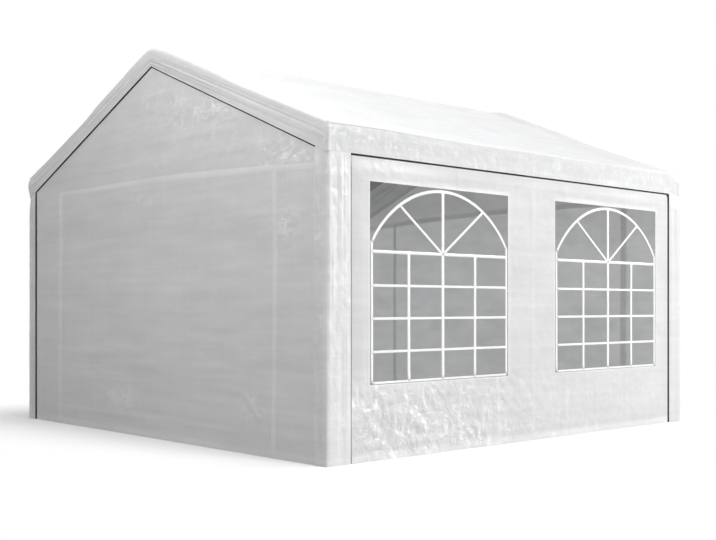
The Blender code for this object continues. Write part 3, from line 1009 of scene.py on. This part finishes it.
def valance_fold(v, drop, towards, seed):
    """Creases of a valance: crumples that fade away from one end, and looser folds."""
    near = 0.3 + 0.7 * ease((towards - 0.9) / 1.0)
    folds = 0.0015 * crumple(v, drop, seed, 0.055) * near
    loose = 0.0025 * noise(v * 4 + 40, drop * 6, seed + 1) + 0.0012 * noise(v * 14 + 40, drop * 16, seed + 2)
    return (folds + loose) * ease((drop - 0.005) / 0.03)


def canopy_grid():
    """Points on the plane through the tubes, by row along the ridge and column across it, with the
    way up from each column and the sheet's lift at each point.
    """
    upright, lean = math.pi / 2, math.pi / 2 - PITCH
    half = [(0.0, upright + (lean - upright) * k / RIDGE_STEPS) for k in range(RIDGE_STEPS)]
    half += [(x, lean) for x in RIDGE_PLACES + list(spread([0.19, FRAME], CANOPY_STEP))]
    stations = [(-x, math.pi - a) for x, a in reversed(half[1:])] + half
    base_x, angle = (np.array(column) for column in zip(*stations))
    base_z = RIDGE_AXIS - np.abs(base_x) * math.tan(PITCH)
    normal = np.stack([np.cos(angle), 0 * angle, np.sin(angle)], axis=1)
    between = spread([-FRAME + 0.185, 0, FRAME - 0.185], CANOPY_STEP)
    ys = [[-FRAME], -FRAME + GABLE_PLACES, between, FRAME - GABLE_PLACES[::-1], [FRAME]]
    x, y = np.meshgrid(base_x, np.concatenate(ys))
    return np.stack([x, y, np.broadcast_to(base_z, x.shape)], axis=-1), normal, roof_lift(x, y)


def canopy_rim(row_count, columns):
    """The canopy's rim, once round: each place's number in its grid, and the way out from the tube."""
    grid = np.arange(row_count * columns).reshape(row_count, columns)
    edges = (grid[0], grid[:, -1], grid[-1, ::-1], grid[::-1, 0])
    ways = ((0.0, -1.0), (1.0, 0.0), (0.0, 1.0), (-1.0, 0.0))
    rim = []
    for edge, first, second in zip(edges, ways, ways[1:] + ways[:1]):
        rim.extend((place, (*first, 0.0)) for place in edge[1:-1])
        for k in range(CORNER_STEPS + 1):
            a = math.pi / 2 * k / CORNER_STEPS
            way = [first[i] * math.cos(a) + second[i] * math.sin(a) for i in range(2)]
            rim.append((edge[-1], (*way, 0.0)))
    return (np.array(column) for column in zip(*rim))


def canopy_skirt(tube, edge, out):
    """Rings of points down from the canopy's rim: its turn over the edge, then its skirt.

    For each place of the rim, tube is on the tube's axis, edge is the sheet over it, and out is the
    way outward.
    """
    side_share = np.abs(out[:, 0])
    gable_share = np.abs(out[:, 1])
    on_gable_side = gable_share > 0.999

    # On a gable the skirt hangs straight down from the sheet's edge
    axis = tube.copy()
    axis[:, 0] += (edge[:, 0] - tube[:, 0]) * gable_share
    axis[:, 2] -= math.tan(PITCH) * (np.abs(axis[:, 0]) - np.abs(tube[:, 0]))
    x, y, level = axis.T
    u = seen_across(x, y)
    towards = towards_crumples(x, y)
    low = WRAP + np.where(on_gable_side, 0.45 * gable_roll(u), 0.004)
    near_corner = hump(np.abs(x), FRAME, 0.06) * hump(np.abs(y), FRAME, 0.06)
    eave_foot = strip_foot(HALF) + (VALANCE_FOOT - strip_foot(HALF)) * side_share
    total = level - np.where(on_gable_side, strip_foot(x), eave_foot)
    # Where the skirt's foot lies on a corner cover it fits closely
    close = np.where(
        on_gable_side,
        ease((np.abs(u) - (HALF - GABLE_FLANGE - 0.02)) / 0.02),
        ease((np.abs(y) - (HALF - SIDE_FLANGE["front"] - 0.02)) / 0.02),
    )

    # The sheet turns over its edge almost squarely, round the point where top and skirt would meet
    high = np.linalg.norm(edge - axis, axis=1)
    up = (edge - axis) / high[:, None]
    lean = (up * out).sum(axis=1)
    up_part = (high - low * lean) / (1 - lean**2)
    out_part = (low - high * lean) / (1 - lean**2)
    meet = axis + up * up_part[:, None] + out * out_part[:, None]
    hang = axis + out * low[:, None]
    lip_share = side_share * (0.12 + 0.88 * ease((towards - 0.7) / 0.9))
    rings = []
    for k in range(1, TURN_STEPS + 1):
        t = k / TURN_STEPS
        turned = math.pi / 2 * (0.5 - 0.5 * math.cos(math.pi * t))
        across = math.sin(turned) ** SQUARE_TURN
        above = max(math.cos(turned), 0.0) ** SQUARE_TURN if k < TURN_STEPS else 0.0
        points = meet + (edge - meet) * (1 - across) + (hang - meet) * (1 - above)
        lip = eave_lip(meet[:, 2] - points[:, 2]) * lip_share * ease(3 * t - 1)
        points = points + out * lip[:, None]
        points[:, 2] -= ridge_rounding(points[:, 0], y)
        rings.append(points)

    # The front left corner's skirt is pushed out at the knee of the frame
    pushed = np.where((x < 0) & (y < 0), 0.012, 0.002) * near_corner
    foot_out = WRAP + 0.0022 - 0.0014 * close
    drops = [np.full(len(tube), d) for d in SKIRT_TOP]
    for k in range(1, SKIRT_STEPS + 1):
        drops.append(SKIRT_TOP[-1] + (total - SKIRT_TOP[-1]) * k / SKIRT_STEPS)
    for drop in drops:
        share = drop / total
        valance = valance_fold(y, drop, towards, 15) * side_share + 0.0015 * near_corner
        fold = np.where(on_gable_side, strip_fold(u, drop, 11), valance)
        hem = 0.001 * ease((0.03 - (total - drop)) / 0.003)
        loose = 1 - close * ease((share - 0.5) / 0.4)
        knee = pushed * hump(share, 0.35, 0.4)
        settle = low + (foot_out - low) * ease(share)
        lip = eave_lip(meet[:, 2] - level + drop) * lip_share
        bulge = settle + (np.maximum(fold, -0.004) + hem) * loose + knee + lip
        points = axis + out * bulge[:, None]
        points[:, 2] = level - drop
        points[:, 2] -= ridge_rounding(points[:, 0], y) * (1 - share)
        rings.append(points)
    return rings


def canopy_values(points, hem_points):
    """What its material needs: the valances are the most crumpled, towards one end of each, with the
    most pale marks, partly painted highlights, and the sheet is doubled along the eaves and at its lower
    hem.
    """
    x, y, z = points.T
    hangs = ease((EAVE_AXIS + 0.02 - z) / 0.01) * (np.abs(x) > FRAME + WRAP / 2)
    wear_and_glint = 0.08 + hangs * (0.14 + 0.16 * ease((towards_crumples(x, y) - 0.9) / 0.7))
    doubled = ease((np.abs(x) - EAVE_BAND) / 0.1) * (z > EAVE_AXIS + WRAP / 2)
    doubled[hem_points] = 1.0
    return {"wear_and_glint": wear_and_glint, "doubled": doubled}


def add_canopy():
    """The whole roof cover, with its valances and gable strips."""
    axis, normal, lift = canopy_grid()
    top = axis + normal[None] * lift[..., None]
    top[..., 2] -= ridge_rounding(top[..., 0], axis[..., 1])
    index, out = canopy_rim(*lift.shape)
    tube = axis.reshape(-1, 3)[index]
    up = np.tile(normal, (len(axis), 1))[index]
    edge = tube + up * lift.ravel()[index][:, None]
    rings = canopy_skirt(tube, edge, out)
    points = np.concatenate([top.reshape(-1, 3), *rings])
    faces = grid_faces(*lift.shape)
    rows = [index, *np.arange(lift.size, len(points)).reshape(len(rings), -1)]
    for upper, lower in zip(rows, rows[1:]):
        for k in range(len(index)):
            m = (k + 1) % len(index)
            face = [int(upper[k]), int(lower[k]), int(lower[m]), int(upper[m])]
            faces.append(tuple(face[:3] if upper[k] == upper[m] else face))
    values = canopy_values(points, np.concatenate(rows[-2:]))
    canopy = add_mesh("roof_canopy", points, faces, ROOF_FABRIC, "roof_fabric", **values)
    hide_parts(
        "roof_cover_left", "roof_cover_right", "gable_strip_front", "gable_strip_rear"
    )


# The corner patches of painted shade: from how far out, to how far out, across and along, and how far under
# the sheet
PATCH_ACROSS = (1.40, 1.84)
PATCH_ALONG = (1.40, 1.79)
PATCH_GAP = 0.0015
PATCH_STEP = 0.02


def add_corner_shade_patches():
    """A near-black patch inside each corner of the canopy, just inside its tubes: painted shade for the
    canopy's dark underside there.
    """
    across = spread(PATCH_ACROSS, PATCH_STEP)
    along = spread(PATCH_ALONG, PATCH_STEP)
    for end_name, end in ENDS.items():
        for side_name, side in SIDES.items():
            x, y = np.meshgrid(side * across, end * along)
            lift = roof_lift(x, y) - PATCH_GAP
            z = RIDGE_AXIS - np.abs(x) * math.tan(PITCH)
            points = np.stack([x + side * lift * math.sin(PITCH), y, z + lift * math.cos(PITCH)], axis=-1)
            patch = add_grid(f"corner_shade_patch_{end_name}_{side_name}", points, SHADE_PATCH, "roof_fabric")


# Metal


def dress_metal():
    for name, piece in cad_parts.items():
        if name.startswith(("post", "rafter", "eave_rail", "ridge_rail")):
            material = STEEL
        elif "connector" in name:
            material = JOINT_STEEL
        else:
            continue
        for slot in piece.material_slots:
            slot.material = material


# Stage, light and camera

# The photograph's camera, and its size, focal length and horizon in pixels
CAMERA_PLACE = (7.039, -6.362, 0.983)
CAMERA_YAW = math.radians(47.476)
PHOTO = (716, 540)
FOCAL_PIXELS = 1089.8
HORIZON_ROW = 306.4
SENSOR = 36.0

# The floor: how far it reaches, how low it lies, and where it fades to white, outside the walls
FLOOR_REACH = 150
FLOOR_DROP = 0.0008
FADE_FROM, FADE_TO = 0.1, 1.6
FLOOR_TONE = (0.8, 0.8, 0.8, 1)
FLOOR_LIT_TONE = (0.28, 0.28, 0.28, 1)
WHITE = (1, 1, 1, 1)

# The sky's strength level with the ground, and how much weaker it is overhead
SKY = 0.70
SKY_OVERHEAD = 0.6

# Each far lamp: its name, the way towards it, its strength, and how wide it is in degrees
LAMPS = (
    ("key_lamp", (0.75, 0.1, 0.65), 1.28, 24),
    ("top_lamp", (0.1, 0.0, 1.0), 0.92, 30),
    ("rear_lamp", (0.5, 0.8, 0.33), 2.02, 20),
    ("front_lamp", (-0.75, -0.5, 0.45), 0.2, 24),
)

# Round panel lamps near the tent: their names, places, what they are aimed at, sizes and powers
PANELS = (
    ("front_panel", (1.6, -4.6, 4.6), (0.6, -2.0, 2.0), 1.5, 83),
    ("rear_panel", (4.6, 3.1, 1.3), (2.0, 1.2, 0.9), 2.0, 29),
)


def aimed(way):
    """The turn of a lamp that lies that way from what it lights."""
    return way.to_track_quat("Z", "Y").to_euler()


def add_floor():
    """A pale floor that fades to the white of the background a little way from the tent."""
    mesh = bpy.data.meshes.new("floor")
    corners = [(x * FLOOR_REACH, y * FLOOR_REACH, 0) for x, y in ((-1, -1), (1, -1), (1, 1), (-1, 1))]
    mesh.from_pydata(corners, [], [(0, 1, 2, 3)])
    floor = add_object("floor", mesh)
    floor.location.z = -FLOOR_DROP
    material = bpy.data.materials.new("floor")
    tree = Shading(material)
    across = tree.add("SeparateXYZ", {0: tree.add("TexCoord", output="Object")})
    along = tree.compute("ABSOLUTE", across.node.outputs["Y"])
    away = tree.compute("SMOOTH_MAX", tree.compute("ABSOLUTE", across), along, 0.8)
    fade = tree.ramp(away, HALF + FADE_FROM, HALF + FADE_TO, interpolation_type="SMOOTHSTEP")
    pale = tree.add("BsdfDiffuse", {"Color": FLOOR_TONE})
    glow = tree.add("Emission", {"Color": WHITE, "Strength": 1.0})
    seen = tree.blend(fade, pale, glow)
    # It lights the tent from below only weakly
    dim = tree.add("BsdfDiffuse", {"Color": FLOOR_LIT_TONE})
    seen_rays = tree.add("LightPath", output="Is Camera Ray")
    tree.add("OutputMaterial", {"Surface": tree.blend(seen_rays, dim, seen)})
    mesh.materials.append(material)


def add_light():
    """A wide soft sky, brighter low down, broad lamps far off, and panel lamps near the tent."""
    scene = bpy.context.scene
    scene.world = bpy.data.worlds.new("world")
    tree = Shading(scene.world)
    height = tree.add("SeparateXYZ", {0: tree.add("TexCoord", output="Generated")}, "Z")
    squared = tree.compute("MULTIPLY", height, height)
    strength = tree.compute("MULTIPLY_ADD", squared, -SKY_OVERHEAD, SKY)
    seen = tree.add("Background", {"Color": WHITE, "Strength": 1.0})
    lit = tree.add("Background", {"Color": WHITE, "Strength": strength})
    seen_rays = tree.add("LightPath", output="Is Camera Ray")
    tree.add("OutputWorld", {"Surface": tree.blend(seen_rays, lit, seen)})

    for name, toward, power, width in LAMPS:
        lamp = bpy.data.lights.new(name, "SUN")
        lamp.energy = power
        lamp.angle = math.radians(width)
        add_object(name, lamp).rotation_euler = aimed(Vector(toward))
    for name, place, aim, size, power in PANELS:
        panel = bpy.data.lights.new(name, "AREA")
        panel.energy = power
        panel.shape = "DISK"
        panel.size = size
        made = add_object(name, panel)
        made.location = place
        made.rotation_euler = aimed(Vector(place) - Vector(aim))
        made.visible_camera = False
        made.visible_glossy = False
    scene.view_settings.view_transform = "Standard"


def add_camera():
    data = bpy.data.cameras.new("camera")
    data.sensor_width = SENSOR
    data.lens = FOCAL_PIXELS / PHOTO[0] * SENSOR
    data.shift_y = (HORIZON_ROW - PHOTO[1] / 2) / PHOTO[0]
    data.clip_end = 500
    camera = add_object("camera", data)
    camera.location = CAMERA_PLACE
    camera.rotation_euler = (math.pi / 2, 0, CAMERA_YAW)
    bpy.context.scene.camera = camera


def main():
    add_camera()
    add_light()
    add_floor()
    dress_metal()
    add_canopy()
    add_corner_shade_patches()
    for side_name, side in SIDES.items():
        add_side_wall(side_name, side)
        for end_name, end in ENDS.items():
            add_window(side_name, side, end_name, end)
            add_window_bars(side_name, side, end_name, end)
    for corner in CORNERS:
        add_corner_cover(*corner)
    for end_name, end in ENDS.items():
        add_gable_wall(end_name, end)
        add_door(end_name, end)
        add_zip_flaps(end_name, end)
    add_slit_shade_strip()


main()
